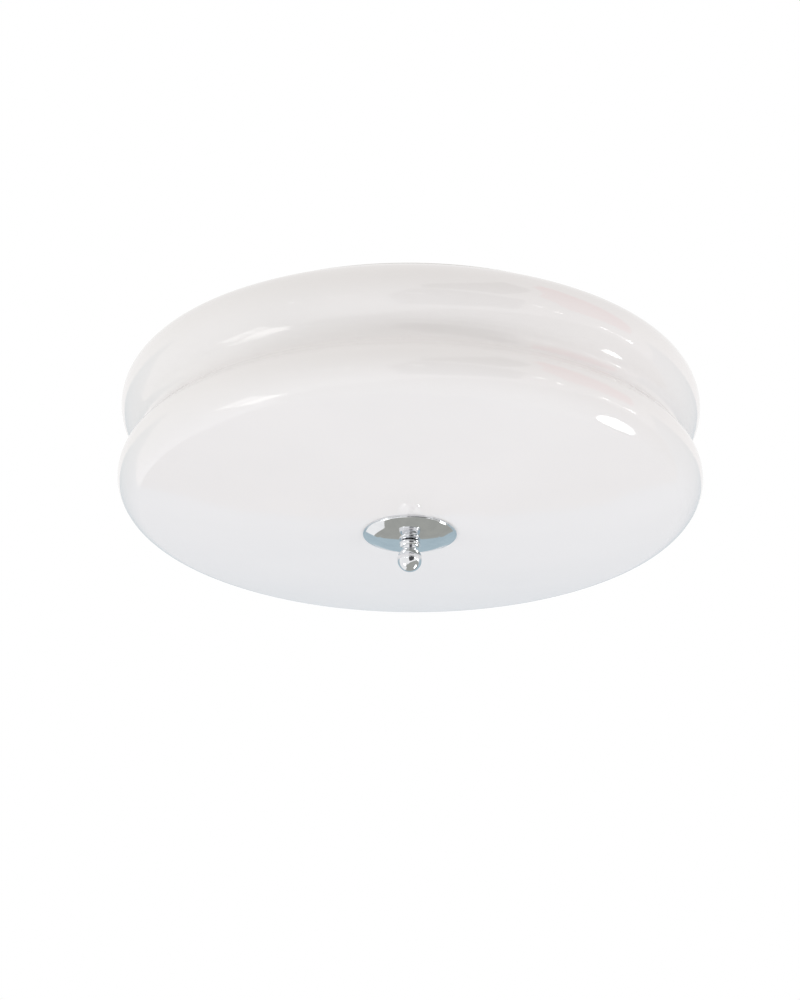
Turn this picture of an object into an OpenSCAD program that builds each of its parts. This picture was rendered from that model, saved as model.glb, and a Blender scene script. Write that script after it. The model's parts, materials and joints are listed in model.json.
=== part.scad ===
// Flush ceiling light. A two-tier opal glass shade hangs under a pressed steel pan, pulled up
// against a foam ring by a chromed cap and a ball finial on a central rod. Inside are three
// lampholders with golf-ball bulbs. The ceiling is the plane z = 0 and the light hangs below it.

/* [Glass shade] */
// Largest diameter of the lower tier
lower_tier_d = 400; // [370:1:440]
// Largest diameter of the upper tier
upper_tier_d = 398; // [370:1:440]
// Radius of the lower tier's rounded edge
lower_edge_r = 19.5; // [15:0.5:24]
// Radius of the upper tier's rounded edge
upper_edge_r = 24.5; // [20:0.5:30]
// Height between the widest rings of the two tiers
tier_spacing = 53.5; // [48:0.5:62]
// Radius of the hollow waist between the tiers
waist_r = 10; // [8:0.5:30]
// Depth of the crowned bottom below the lower tier's widest ring
crown_drop = 37; // [32:0.5:44]
// Thickness of the glass
glass_t = 3; // [2.2:0.1:4]
// Width of the flat shoulder round the top opening
shoulder_w = 15.5; // [13:0.5:20]
// Diameter of the hole for the rod
shade_hole_d = 14; // [12:0.5:18]

/* [Ceiling pan] */
// Thickness of the pan's steel
pan_t = 1; // [0.8:0.1:1.5]
// Depth from the ceiling to the pan's floor
pan_depth = 20; // [19:0.5:26]
// Gap between the pan's wall and the shade's opening
pan_gap = 3; // [2:0.5:5]
// How far the pan's wall leans in from top to bottom
pan_draft = 6; // [3:0.5:10]
// Distance of the stiffening bead from the rod
bead_r = 104; // [92:1:116]
// Width of the stiffening bead
bead_w = 10; // [8:0.5:14]
// Depth of the stiffening bead
bead_h = 2.5; // [1.5:0.5:4]
// Thickness of the foam ring
foam_t = 3.5; // [2.5:0.5:6]
// Width of the foam ring
foam_w = 9; // [6:0.5:11]

/* [Ceiling bracket] */
// Length of the bracket
bracket_l = 134; // [126:1:150]
// Width of the bracket
bracket_w = 22; // [18:1:28]
// Thickness of the bracket's steel
bracket_t = 1.5; // [1.2:0.1:2.5]
// Step of the bracket's ends below the ceiling
bracket_step = 4; // [3.5:0.5:6]
// Distance between the two ceiling slots
slot_spacing = 70; // [60:1:74]
// Length of a ceiling slot
slot_l = 20; // [12:1:22]
// Width of a ceiling slot
slot_w = 5; // [4:0.5:7]
// Distance between the two pan screws
pan_screw_spacing = 120; // [114:1:124]

/* [Rod, cap and finial] */
// Diameter of the central rod
rod_d = 6; // [5:0.5:7]
// Diameter of the cap
cap_d = 61.8; // [54:0.2:72]
// Depth of the cap
cap_depth = 5.5; // [5.1:0.1:8]
// Width of the cap's sloping edge
cap_edge_w = 4.5; // [3.5:0.5:10]
// Height of the cap's sloping edge
cap_edge_h = 3.9; // [3:0.1:4.4]
// Thickness of the cap's metal
cap_t = 1; // [0.8:0.1:1.4]
// Diameter of the finial's ball
ball_d = 16.9; // [15.4:0.1:20]
// Diameter of the finial's collar
collar_d = 14.8; // [14:0.1:19]
// Height of the finial's collar
collar_h = 4.3; // [3.5:0.1:6]
// Diameter of the finial's neck
neck_d = 10.2; // [9:0.1:11]
// Distance from the top of the finial to the centre of its ball
ball_drop = 12.9; // [12:0.1:15]
// Depth of the finial's tapped hole
tapped_depth = 13; // [11:0.5:16]

/* [Lampholders and bulbs] */
// Distance from the rod to the back of a lampholder
holder_back = 21; // [20:0.5:26]
// Distance from the pan down to the lampholders' centre line
holder_drop = 41; // [36:1:46]
// Length of a lampholder
holder_l = 45; // [43:0.5:50]
// Diameter of a lampholder's front
holder_d = 38; // [36:0.5:42]
// Diameter of a lampholder's rear
holder_rear_d = 31; // [29:0.5:34]
// Length of a lampholder's rear
holder_rear_l = 16; // [14:0.5:18]
// Inner diameter of a lampholder's screw shell
socket_d = 27; // [26.8:0.1:28]
// Thickness of the lampholder brackets' steel
foot_t = 1.2; // [1:0.1:2]
// Width of the lampholder brackets
foot_w = 22; // [20:0.5:26]
// Diameter of a bulb's globe
bulb_d = 45; // [43:0.5:50]
// Diameter of a bulb's screw cap
bulb_cap_d = 26.4; // [26:0.1:26.6]
// Length of a bulb's screw cap
bulb_cap_l = 22; // [20:0.5:23]
// Length of a bulb's housing
bulb_body_l = 24; // [20:0.5:28]

/* [Wiring] */
// Length of the terminal block
block_l = 36; // [35:0.5:42]
// Width of the terminal block
block_w = 17; // [16:0.5:20]
// Height of the terminal block
block_h = 13; // [12.5:0.5:15]
// Distance from the rod to the terminal block
block_y = 40; // [38:0.5:48]
// Diameter of the lampholders' sleeved leads
sleeve_d = 4; // [3:0.2:4.6]
// Diameter of the earth lead
earth_lead_d = 2.4; // [1.8:0.1:3]

/* [Hidden] */
$fn = 96;

// Small gaps between pieces that move, or that are slid over each other
fit_gap = 0.05;
slip_gap = 0.15;
rest_gap = 0.25;
hole_gap = 0.3;

// Heights of the stack, down from the ceiling
floor_z = -pan_depth;
under_z = floor_z - pan_t;
shade_top_z = -pan_t - foam_t;
upper_z = shade_top_z - upper_edge_r;
lower_z = upper_z - tier_spacing;
crown_z = lower_z - crown_drop;
holder_z = under_z - holder_drop;

// Radii of the shade and of the pan that fits its opening
upper_c = [upper_tier_d / 2 - upper_edge_r, upper_z];
lower_c = [lower_tier_d / 2 - lower_edge_r, lower_z];
opening_r = upper_c.x - shoulder_w;
wall_top_r = opening_r - pan_gap;
floor_r = wall_top_r - pan_draft;
foam_in_r = opening_r + (shoulder_w - foam_w) / 2;
flange_r = foam_in_r + foam_w + 1;
press_r = 3;

// The crowned bottom is one arc, tangent to the lower tier's edge
crown_r = (lower_c.x ^ 2 - lower_edge_r ^ 2 + crown_drop ^ 2) / (2 * (crown_drop - lower_edge_r));
crown_c = [0, crown_z + crown_r];
crown_tilt = asin(lower_c.x / (crown_r - lower_edge_r));

// The waist is one arc, tangent to both tiers' edges
tier_gap = norm(lower_c - upper_c);
tier_way = (lower_c - upper_c) / tier_gap;
waist_along = ((upper_edge_r + waist_r) ^ 2 - (lower_edge_r + waist_r) ^ 2 + tier_gap ^ 2) / (2 * tier_gap);
waist_out = sqrt((upper_edge_r + waist_r) ^ 2 - waist_along ^ 2);
waist_c = upper_c + waist_along * tier_way + waist_out * [-tier_way.y, tier_way.x];
waist_top = bearing(waist_c - upper_c);
waist_low = bearing(waist_c - lower_c);

// Fasteners
m3_r = 1.5;
m3_head_r = 2.8;
m3_head_h = 1.8;
block_screw_r = 1.25;
block_head_r = 2.4;
block_head_h = 1.6;
m4_r = 2;
m4_head_r = 4;
m4_head_h = 2.6;
rivet_r = 1.6;
rivet_head_r = 3.2;
rivet_head_h = 1;
rod_r = rod_d / 2;
rod_nut_af = rod_d + 4;
rod_nut_h = rod_d - 1;
rod_washer_r = rod_d + 3;
rod_washer_t = 1.6;
rod_tail = 3;
thumb_nut_r = 6;
thumb_nut_h = 8;
thumb_flutes = 20;
flute_r = 0.5;
pan_washer_r = 5;
pan_washer_t = 0.8;
pan_screw_tail = 3;

// Ceiling bracket
bracket_ramp = 4;
bracket_flat = slot_spacing + slot_l + 4;
bracket_corner_r = 4;
centre_hole_r = 5;

// Cap and finial, hung from the bottom of the glass
rim_z = crown_z - 0.4;
cap_lip_h = 0.5;
cap_bend_r = 5;
cap_hole_r = rod_r + hole_gap;
cap_foot_z = rim_z - cap_depth;
finial_z = cap_foot_z - slip_gap;
ball_z = finial_z - ball_drop;
tapped_r = rod_r + fit_gap;
rod_end_z = finial_z - tapped_depth + 1.5;
rod_top_z = floor_z + rod_washer_t + rod_nut_h + rod_tail;
ring_w = 3;
bush_flange_w = 5;
bush_flange_t = 1.5;

// Lampholders point away from the rod. Their own x runs outwards from the rod
holder_count = 3;
first_angle = 30;
socket_r = socket_d / 2;
shell_t = 0.5;
holder_bore_r = socket_r + shell_t + 0.1;
holder_floor = holder_back + 12;
mouth_depth = 3;
mouth_r = holder_bore_r + 2;
rim_bead_w = 3;
rim_bead_r = 1;
leg_end_z = holder_z - 11;
foot_l = 34;
holder_screw_y = 8;
holder_screw_l = 8;
contact_t = 0.5;
contact_rise = 3.6;
contact_w = 6;
contact_half = 5.5;
lead_r = holder_back + 10;
grommet_r = 4.6;
grommet_lip = 1.9;
grommet_lip_t = 1.5;
rivet_x = lead_r + 15;
rivet_y = 7;

// Bulbs, from the tip outwards
tip_x = holder_floor + contact_rise + contact_t + rest_gap;
tip_t = 1.2;
tip_r = 4.6;
insulator_l = 2.8;
bulb_cap_x = tip_x + tip_t + insulator_l;
bulb_body_x = bulb_cap_x + bulb_cap_l;
globe_x = bulb_body_x + bulb_body_l;
globe_r = bulb_d / 2;
globe_seat_r = globe_r - 0.9;
globe_c = globe_x + sqrt(globe_r ^ 2 - globe_seat_r ^ 2);
globe_t = 1.2;
bulb_neck_r = bulb_cap_d / 2 + 0.4;

// Terminal block, standing on the pan's floor
pole_count = 3;
pole_pitch = (block_l - 1) / pole_count;
pole_gap = 4.2;
pole_w = pole_pitch - pole_gap;
web_h = 5;
wire_h = 6;
insert_r = 2.7;
wire_r = 1.9;
shaft_r = 2.5;
clamp_y = block_w / 4;
sleeve_end_y = block_y - 13;
sleeve_pitch = sleeve_d + 2;
run_z = floor_z + wire_h;
tail_r = 0.4;
tail_steps = 8;
tail_step = 0.6;
tail_pitch = 1.1;
tail_in = 4;
earth_x = pole_x(2) + 22;
earth_y = block_y - 2;
lug_r = 4.6;
lug_t = 0.8;
star_t = 0.9;
star_teeth = 12;

function bearing(v) = atan2(v.y, v.x);
function pole_x(i) = (i - (pole_count - 1) / 2) * pole_pitch;

function arc(c, r, from, to, n) =
    [for (i = [0:n]) let (a = from + (to - from) * i / n) c + r * [cos(a), sin(a)]];

function reversed(p) = [for (i = [len(p) - 1:-1:0]) p[i]];

function unit(v) = v / norm(v);

// A bend of radius r where the line from a turns at b towards c
function bend(a, b, c, r, n) =
    let (u = unit(a - b), w = unit(c - b), half = acos(u * w) / 2,
         mid = b + unit(u + w) * r / sin(half), p = b + u * r / tan(half), q = b + w * r / tan(half),
         from = bearing(p - mid), raw = bearing(q - mid) - from,
         sweep = raw > 180 ? raw - 360 : raw < -180 ? raw + 360 : raw)
    arc(mid, r, from, from + sweep, n);

// A line through points p with every inner corner bent to radius r
function bent(p, r, n = 5) = [
    p[0],
    for (i = [1:len(p) - 2]) each bend(p[i - 1], p[i], p[i + 1], r, n),
    p[len(p) - 1]
];

// The line that runs t to the right of p, with mitred corners
function beside(p, t) = [
    for (i = [0:len(p) - 1])
        let (u = unit(p[min(i + 1, len(p) - 1)] - p[min(i, len(p) - 2)]),
             w = unit(p[max(i, 1)] - p[max(i - 1, 0)]),
             m = ([u.y, -u.x] + [w.y, -w.x]) / (1 + u * w))
            p[i] + t * m
];

// A turned sheet: the line p, with thickness t on its right
module turned_sheet(p, t) {
    rotate_extrude()
        polygon(concat(p, reversed(beside(p, t))));
}

module turned(p) {
    rotate_extrude()
        polygon(p);
}

module ring(inner, outer, z, h) {
    translate([0, 0, z])
        difference() {
            cylinder(r = outer, h = h);
            translate([0, 0, -1])
                cylinder(r = inner, h = h + 2);
        }
}

// Turns a piece drawn up the z axis so that it points along x
module along_x(x, z) {
    translate([x, 0, z])
        rotate([0, 90, 0])
            children();
}

// Draws the children in the frame of lampholder i
module at_holder(i) {
    rotate([0, 0, first_angle + i * 360 / holder_count])
        children();
}

module at_pan_screws() {
    for (side = [-1, 1])
        translate([side * pan_screw_spacing / 2, 0, 0])
            children();
}

// A straight-sided slot with round ends, made of true cylinders
module true_slot(l, w, z, h) {
    translate([-(l - w) / 2, -w / 2, z])
        cube([l - w, w, h]);
    for (side = [-1, 1])
        translate([side * (l - w) / 2, 0, z])
            cylinder(d = w, h = h);
}

// A screw head with a domed top and a cross recess, seated at z = 0 and standing up
module pan_head(r, h) {
    difference() {
        turned([
            [0, 0], [r, 0], [r, h * 0.45], each arc([r * 0.55, h * 0.45], r * 0.45, 0, 60, 4),
            [r * 0.5, h], [0, h]
        ]);
        for (turn = [0, 90])
            rotate([0, 0, turn])
                translate([-r * 0.55, -r * 0.1, h * 0.5])
                    cube([r * 1.1, r * 0.2, h]);
    }
}

module hex_nut(af, h, bore) {
    difference() {
        intersection() {
            cylinder(r = af / sqrt(3), h = h, $fn = 6);
            turned([
                [0, 0], [af / 2, 0], [af / sqrt(3), h * 0.12],
                [af / sqrt(3), h * 0.88], [af / 2, h], [0, h]
            ]);
        }
        translate([0, 0, -1])
            cylinder(r = bore, h = h + 2);
    }
}

// Rings of a tube of radius r round the path p, each turned as little as possible from the one before
function path_ways(p) = [
    for (i = [0:len(p) - 1])
        let (j = max(i, 1), k = min(i, len(p) - 2))
            unit(unit(p[j] - p[j - 1]) + unit(p[k + 1] - p[k]))
];
function carry(n, way) = unit(n - (n * way) * way);
function path_normals(ways, i = 0, n = [1, 0.01, 0]) =
    i == len(ways) ? [] :
    let (m = carry(n, ways[i])) concat([m], path_normals(ways, i + 1, m));

module tube(p, r, sides) {
    ways = path_ways(p);
    normals = path_normals(ways);
    points = [
        for (i = [0:len(p) - 1], j = [0:sides - 1])
            let (a = 360 * j / sides)
                p[i] + r * (cos(a) * normals[i] + sin(a) * cross(ways[i], normals[i]))
    ];
    last = (len(p) - 1) * sides;
    faces = concat(
        [[for (j = [0:sides - 1]) j]],
        [[for (j = [sides - 1:-1:0]) last + j]],
        [
            for (i = [0:len(p) - 2], j = [0:sides - 1])
                let (k = (j + 1) % sides)
                    [i * sides + j, (i + 1) * sides + j, (i + 1) * sides + k, i * sides + k]
        ]
    );
    polyhedron(points, faces);
}

// A smooth line through points p, with n steps between each pair
function smooth(p, n) = [
    for (i = [0:len(p) - 2], k = [0:n - 1])
        let (t = k / n, a = p[max(i - 1, 0)], b = p[i], c = p[i + 1], d = p[min(i + 2, len(p) - 1)])
            0.5 * (2 * b + (c - a) * t + (2 * a - 5 * b + 4 * c - d) * t ^ 2
                   + (3 * b - a - 3 * c + d) * t ^ 3),
    p[len(p) - 1]
];

// Shade: shoulder, upper edge, waist, lower edge and crowned bottom, each tangent to the next
function shade_line() = concat(
    [[opening_r, shade_top_z]],
    arc(upper_c, upper_edge_r, 90, waist_top, 20),
    [for (i = [1:12]) arc(waist_c, waist_r, waist_top + 180, waist_low + 180, 12)[i]],
    [for (i = [1:18]) arc(lower_c, lower_edge_r, waist_low, crown_tilt - 90, 18)[i]],
    [for (i = [1:8]) arc(crown_c, crown_r, crown_tilt - 90, asin(shade_hole_d / 2 / crown_r) - 90, 8)[i]]
);

// Height of the outside of the crowned bottom at a distance from the rod
function crown_at(r) = crown_c.y - sqrt(crown_r ^ 2 - r ^ 2);

module glass_shade() {
    outside = shade_line();
    inside = reversed(beside(outside, glass_t));
    lip = arc([opening_r, shade_top_z - glass_t / 2], glass_t / 2, 270, 90, 6);
    color("#f2efeb")
        turned(concat(outside, inside, [for (i = [1:5]) lip[i]]));
}

module ceiling_pan() {
    floor_line = [
        [rod_r + hole_gap, floor_z],
        for (i = [0:10])
            [bead_r - bead_w / 2 + bead_w * i / 10, floor_z - bead_h * (1 - cos(36 * i)) / 2]
    ];
    wall_line = bent([
        floor_line[len(floor_line) - 1], [floor_r, floor_z], [wall_top_r, 0], [flange_r, 0]
    ], press_r);
    color("#f4f4f2")
        difference() {
            turned_sheet(concat(floor_line, [for (i = [1:len(wall_line) - 1]) wall_line[i]]), pan_t);
            at_pan_screws()
                translate([0, 0, under_z - 1])
                    cylinder(r = m4_r + hole_gap, h = pan_t + 2);
            for (i = [0:holder_count - 1])
                at_holder(i) {
                    translate([lead_r, 0, under_z - 1])
                        cylinder(r = grommet_r, h = pan_t + 2);
                    for (side = [-1, 1])
                        translate([rivet_x, side * rivet_y, under_z - 1])
                            cylinder(r = rivet_r + fit_gap, h = pan_t + 2);
                }
            for (i = [0:pole_count - 2])
                translate([pole_x(i + 0.5), block_y + block_w / 2, under_z - 1])
                    cylinder(r = block_screw_r + fit_gap, h = pan_t + 2);
            translate([earth_x, earth_y, under_z - 1])
                cylinder(r = m4_r + fit_gap, h = pan_t + 2);
        }
}

module foam_ring() {
    color("#3a3a3c")
        ring(foam_in_r, foam_in_r + foam_w, shade_top_z + slip_gap, foam_t - slip_gap);
}

module ceiling_bracket() {
    half = bracket_l / 2;
    flat = bracket_flat / 2;
    side_line = [
        [-half, -bracket_step], [-flat - bracket_ramp, -bracket_step], [-flat, 0],
        [flat, 0], [flat + bracket_ramp, -bracket_step], [half, -bracket_step]
    ];
    color("#c3c7c9")
        difference() {
            intersection() {
                rotate([90, 0, 0])
                    linear_extrude(bracket_w, center = true)
                        polygon(concat(side_line, reversed(beside(side_line, bracket_t))));
                union() {
                    translate([-half + bracket_corner_r, -bracket_w / 2, -bracket_step - bracket_t - 1])
                        cube([bracket_l - 2 * bracket_corner_r, bracket_w, bracket_step + bracket_t + 2]);
                    translate([-half, -bracket_w / 2 + bracket_corner_r, -bracket_step - bracket_t - 1])
                        cube([bracket_l, bracket_w - 2 * bracket_corner_r, bracket_step + bracket_t + 2]);
                    for (x = [-1, 1], y = [-1, 1])
                        translate([x * (half - bracket_corner_r), y * (bracket_w / 2 - bracket_corner_r),
                                   -bracket_step - bracket_t - 1])
                            cylinder(r = bracket_corner_r, h = bracket_step + bracket_t + 2);
                }
            }
            for (side = [-1, 1])
                translate([side * slot_spacing / 2, 0, 0])
                    true_slot(slot_l, slot_w, -bracket_t - 1, bracket_t + 2);
            translate([0, 0, -bracket_t - 1])
                cylinder(r = centre_hole_r, h = bracket_t + 2);
            at_pan_screws()
                translate([0, 0, -bracket_step - bracket_t - 1])
                    cylinder(r = m4_r + fit_gap, h = bracket_t + 2);
        }
}

module pan_screws() {
    end_z = under_z - pan_washer_t - thumb_nut_h - pan_screw_tail;
    color("#b9bcc0")
        at_pan_screws() {
            translate([0, 0, -bracket_step])
                pan_head(m4_head_r, m4_head_h);
            translate([0, 0, end_z])
                cylinder(r = m4_r, h = -bracket_step - end_z);
        }
}

module pan_washers() {
    color("#c8ccd0")
        at_pan_screws()
            ring(m4_r + hole_gap, pan_washer_r, under_z - pan_washer_t, pan_washer_t);
}

module thumb_nuts() {
    top_z = under_z - pan_washer_t;
    collar = 2;
    color("#cfc9b8")
        at_pan_screws()
            difference() {
                turned([
                    [m4_r + fit_gap, top_z], [thumb_nut_r - 1.5, top_z], [thumb_nut_r - 1.5, top_z - collar],
                    [thumb_nut_r - 0.5, top_z - collar], [thumb_nut_r, top_z - collar - 0.5],
                    [thumb_nut_r, top_z - thumb_nut_h + 0.6], [thumb_nut_r - 0.6, top_z - thumb_nut_h],
                    [m4_r + fit_gap, top_z - thumb_nut_h]
                ]);
                for (i = [0:thumb_flutes - 1])
                    rotate([0, 0, 360 * i / thumb_flutes])
                        translate([thumb_nut_r + flute_r * 0.2, 0, top_z - thumb_nut_h - 1])
                            cylinder(r = flute_r, h = thumb_nut_h - collar + 1);
            }
}

module centre_rod() {
    chamfer = 0.6;
    color("#c6c9cc")
        turned([
            [0, rod_end_z], [rod_r - chamfer, rod_end_z], [rod_r, rod_end_z + chamfer],
            [rod_r, rod_top_z - chamfer], [rod_r - chamfer, rod_top_z], [0, rod_top_z]
        ]);
}

module rod_plate_washer() {
    color("#c8ccd0")
        ring(rod_r + hole_gap, rod_washer_r, floor_z, rod_washer_t);
}

module rod_upper_nut() {
    color("#c8ccd0")
        translate([0, 0, floor_z + rod_washer_t])
            hex_nut(rod_nut_af, rod_nut_h, rod_r + fit_gap);
}

// A split ring, cut on the slant, as flattened by its nut
module rod_spring_washer() {
    cut_w = 0.8;
    color("#8f9498")
        difference() {
            ring(rod_r + slip_gap, rod_nut_af / 2, under_z - rod_washer_t, rod_washer_t);
            translate([0, -cut_w / 2, under_z - rod_washer_t - 1])
                cube([rod_nut_af, cut_w, rod_washer_t + 2]);
        }
}

module rod_lower_nut() {
    color("#c8ccd0")
        translate([0, 0, under_z - rod_washer_t - rod_nut_h])
            hex_nut(rod_nut_af, rod_nut_h, rod_r + fit_gap);
}

// An angle of sheet steel: the foot lies under the pan and the leg stands behind the lampholder
module holder_bracket(i) {
    elbow_r = 2.5;
    side_line = bent([[holder_back, leg_end_z], [holder_back, under_z - foot_t],
                      [holder_back - foot_t + foot_l, under_z - foot_t]], elbow_r);
    color("#c3c7c9")
        at_holder(i)
            difference() {
                rotate([90, 0, 0])
                    linear_extrude(foot_w, center = true)
                        polygon(concat(side_line, reversed(beside(side_line, -foot_t))));
                translate([lead_r, 0, under_z - foot_t - 1])
                    cylinder(r = grommet_r, h = foot_t + 2);
                for (side = [-1, 1]) {
                    translate([rivet_x, side * rivet_y, under_z - foot_t - 1])
                        cylinder(r = rivet_r + fit_gap, h = foot_t + 2);
                    translate([0, side * holder_screw_y, 0])
                        along_x(holder_back - foot_t - 1, holder_z)
                            cylinder(r = m3_r + fit_gap, h = foot_t + 2);
                }
            }
}

module bracket_rivets() {
    dome = [for (a = [0:15:90]) [rivet_head_r * cos(a), rivet_head_h * sin(a)]];
    color("#b4b8bb")
        for (i = [0:holder_count - 1], side = [-1, 1])
            at_holder(i)
                translate([rivet_x, side * rivet_y, 0]) {
                    translate([0, 0, floor_z])
                        turned(concat([[0, 0]], dome));
                    translate([0, 0, under_z - foot_t])
                        cylinder(r = rivet_r, h = pan_t + foot_t);
                    translate([0, 0, under_z - foot_t - rivet_head_h])
                        cylinder(r1 = rivet_r, r2 = rivet_head_r - 0.6, h = rivet_head_h);
                }
}

// Glazed ceramic body: stepped outside, with a bore for the screw shell and a wider mouth
module lampholder(i) {
    front = holder_l;
    floor_h = holder_floor - holder_back;
    step = holder_rear_l;
    rear_r = holder_rear_d / 2;
    front_r = holder_d / 2;
    entry_depth = 4;
    outline = concat(
        [[0, 0], [rear_r - 1.5, 0], [rear_r, 1.5]],
        bend([rear_r, 1.5], [rear_r, step], [front_r, step + 4], 2, 4),
        bend([rear_r, step], [front_r, step + 4], [front_r, front], 2, 4),
        [[front_r, front - rim_bead_w]],
        arc([front_r, front - rim_bead_w / 2], rim_bead_r, -60, 60, 5),
        [
            [front_r - 0.5, front], [mouth_r + 0.6, front], [mouth_r, front - 0.6],
            [mouth_r, front - mouth_depth], [holder_bore_r, front - mouth_depth],
            [holder_bore_r, floor_h], [0, floor_h]
        ]
    );
    color("#f5f3ee")
        at_holder(i)
            difference() {
                along_x(holder_back, holder_z)
                    turned(outline);
                translate([lead_r, 0, holder_z + rear_r - entry_depth])
                    cylinder(d = sleeve_d + 2 * slip_gap, h = entry_depth + 1);
                for (side = [-1, 1])
                    translate([0, side * holder_screw_y, 0])
                        along_x(holder_back - 1, holder_z)
                            cylinder(r = m3_r + fit_gap, h = holder_screw_l - foot_t + 1.5);
            }
}

// Thin screw shell with the rounded thread rolled into it, and a turned-in end
module screw_shell(i) {
    shell_l = holder_l - mouth_depth - (holder_floor - holder_back);
    color("#d8c48a")
        at_holder(i)
            along_x(holder_floor, holder_z)
                difference() {
                    cylinder(r = socket_r + shell_t, h = shell_l);
                    translate([0, 0, shell_t])
                        cylinder(r = socket_r, h = shell_l);
                    translate([0, 0, -1])
                        cylinder(r = socket_r - 3, h = shell_l);
                }
}

// A bent brass tongue, riveted to the floor of the bore
module centre_contact(i) {
    half = contact_half;
    tongue = [[0, -half], [0, -half / 3], [contact_rise, half * 0.6], [contact_rise, half]];
    rivet_h = 0.7;
    color("#d9c27a")
        at_holder(i)
            translate([holder_floor, 0, holder_z]) {
                rotate([90, 0, 0])
                    linear_extrude(contact_w, center = true)
                        polygon(concat(tongue, reversed(beside(tongue, contact_t))));
                translate([contact_t, 0, -half * 0.66])
                    rotate([0, 90, 0])
                        cylinder(r = m3_r, h = rivet_h);
            }
}

module holder_screws() {
    color("#b9bcc0")
        for (i = [0:holder_count - 1], side = [-1, 1])
            at_holder(i)
                translate([0, side * holder_screw_y, 0]) {
                    translate([holder_back - foot_t, 0, holder_z])
                        rotate([0, -90, 0])
                            pan_head(m3_head_r, m3_head_h);
                    along_x(holder_back - foot_t, holder_z)
                        cylinder(r = m3_r, h = holder_screw_l);
                }
}

module lead_grommets() {
    bore_r = sleeve_d / 2 + hole_gap;
    lip_r = grommet_r + grommet_lip;
    lower = under_z - foot_t;
    color("#2d2d2f")
        for (i = [0:holder_count - 1])
            at_holder(i)
                translate([lead_r, 0, 0])
                    turned([
                        [bore_r, lower - grommet_lip_t], [lip_r - 0.7, lower - grommet_lip_t],
                        [lip_r, lower - 0.4], [lip_r, lower], [grommet_r, lower],
                        [grommet_r, floor_z], [lip_r, floor_z], [lip_r, floor_z + 0.4],
                        [lip_r - 0.7, floor_z + grommet_lip_t], [bore_r, floor_z + grommet_lip_t]
                    ]);
}

// Where the leads' sleeves come up through the pan, and where they end at the terminal block
function grommet_at(i) =
    let (a = first_angle + i * 360 / holder_count) lead_r * [cos(a), sin(a)];
sleeve_end_x = [sleeve_pitch, -sleeve_pitch, 0];
// Points between, over the pan's floor, as shares of lead_r: the third sleeve goes round the nut
sleeve_turns = [
    [[0.4, 0.62]],
    [[-0.4, 0.62]],
    [[-0.29, -0.77], [-0.48, -0.39], [-0.42, 0.13], [-0.13, 0.55]]
];

module lead_sleeve(i) {
    g = grommet_at(i);
    low = holder_z + holder_rear_d / 2 - 3.5;
    below = under_z - foot_t - grommet_lip_t - 1;
    turns = [for (p = sleeve_turns[i]) [lead_r * p.x, lead_r * p.y, run_z]];
    way = unit([turns[0].x - g.x, turns[0].y - g.y]);
    r = wire_h - grommet_lip_t;
    arch = [
        for (a = [0, 45, 90])
            [g.x + way.x * r * (1 - cos(a)), g.y + way.y * r * (1 - cos(a)), run_z - r + r * sin(a)]
    ];
    tail = [for (back = [2, 1, 0]) [sleeve_end_x[i], sleeve_end_y - back * sleeve_d / 2, run_z]];
    color("#efece2")
        tube(smooth(concat([[g.x, g.y, low], [g.x, g.y, below]], arch, turns, tail), 4), sleeve_d / 2, 8);
}

// Bared conductors from the sleeves to one pole: three side by side, at their own level. Each
// bends a little later than the one on its left, so that none crosses another
module tails(pole, level) {
    z = run_z + level * tail_step;
    for (i = [0:holder_count - 1]) {
        order = [1, -1, 0][i];
        from = [sleeve_end_x[i], sleeve_end_y + fit_gap, z];
        to = [pole_x(pole) + order * tail_pitch, block_y, z];
        low = from.y + 2 + order;
        high = to.y - 6 + 2 * order;
        sweep = [
            for (k = [0:tail_steps])
                let (t = k / tail_steps)
                    [from.x + (to.x - from.x) * (1 - cos(180 * t)) / 2, low + (high - low) * t, z]
        ];
        tube(concat([from], sweep, [to + [0, tail_in, 0]]), tail_r, 6);
    }
}

module live_tails() {
    color("#d98d55")
        tails(0, 1);
}

module neutral_tails() {
    color("#cf8a5a")
        tails(1, -1);
}

module terminal_block() {
    color("#f0eee8")
        translate([0, block_y, floor_z])
            difference() {
                union() {
                    translate([-block_l / 2, 0, 0])
                        cube([block_l, block_w, web_h]);
                    for (i = [0:pole_count - 1])
                        translate([pole_x(i), 0, 0]) {
                            translate([-pole_w / 2, 0, 0])
                                cube([pole_w, block_w, block_h - pole_w / 3]);
                            for (y = [clamp_y, block_w - clamp_y])
                                translate([0, y, 0])
                                    cylinder(r = pole_w * 0.42, h = block_h);
                        }
                }
                for (i = [0:pole_count - 1])
                    translate([pole_x(i), 0, 0]) {
                        translate([0, -1, wire_h])
                            rotate([-90, 0, 0])
                                cylinder(r = insert_r + fit_gap, h = block_w + 2);
                        for (y = [clamp_y, block_w - clamp_y])
                            translate([0, y, wire_h])
                                cylinder(r = shaft_r, h = block_h);
                    }
                for (i = [0:pole_count - 2])
                    translate([pole_x(i + 0.5), block_w / 2, 0]) {
                        translate([0, 0, -1])
                            cylinder(r = block_screw_r + slip_gap, h = web_h + 2);
                        translate([0, 0, web_h])
                            cylinder(r = block_head_r + slip_gap, h = block_h);
                    }
            }
}

// Brass tubes inside the poles, tapped from above for the clamping screws
module terminal_inserts() {
    end_gap = 1;
    color("#cfae5c")
        for (i = [0:pole_count - 1])
            translate([pole_x(i), block_y, floor_z])
                difference() {
                    translate([0, end_gap, wire_h])
                        rotate([-90, 0, 0])
                            ring(wire_r, insert_r, 0, block_w - 2 * end_gap);
                    for (y = [clamp_y, block_w - clamp_y])
                        translate([0, y, wire_h])
                            cylinder(r = m3_r + fit_gap, h = block_h);
                }
}

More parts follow.
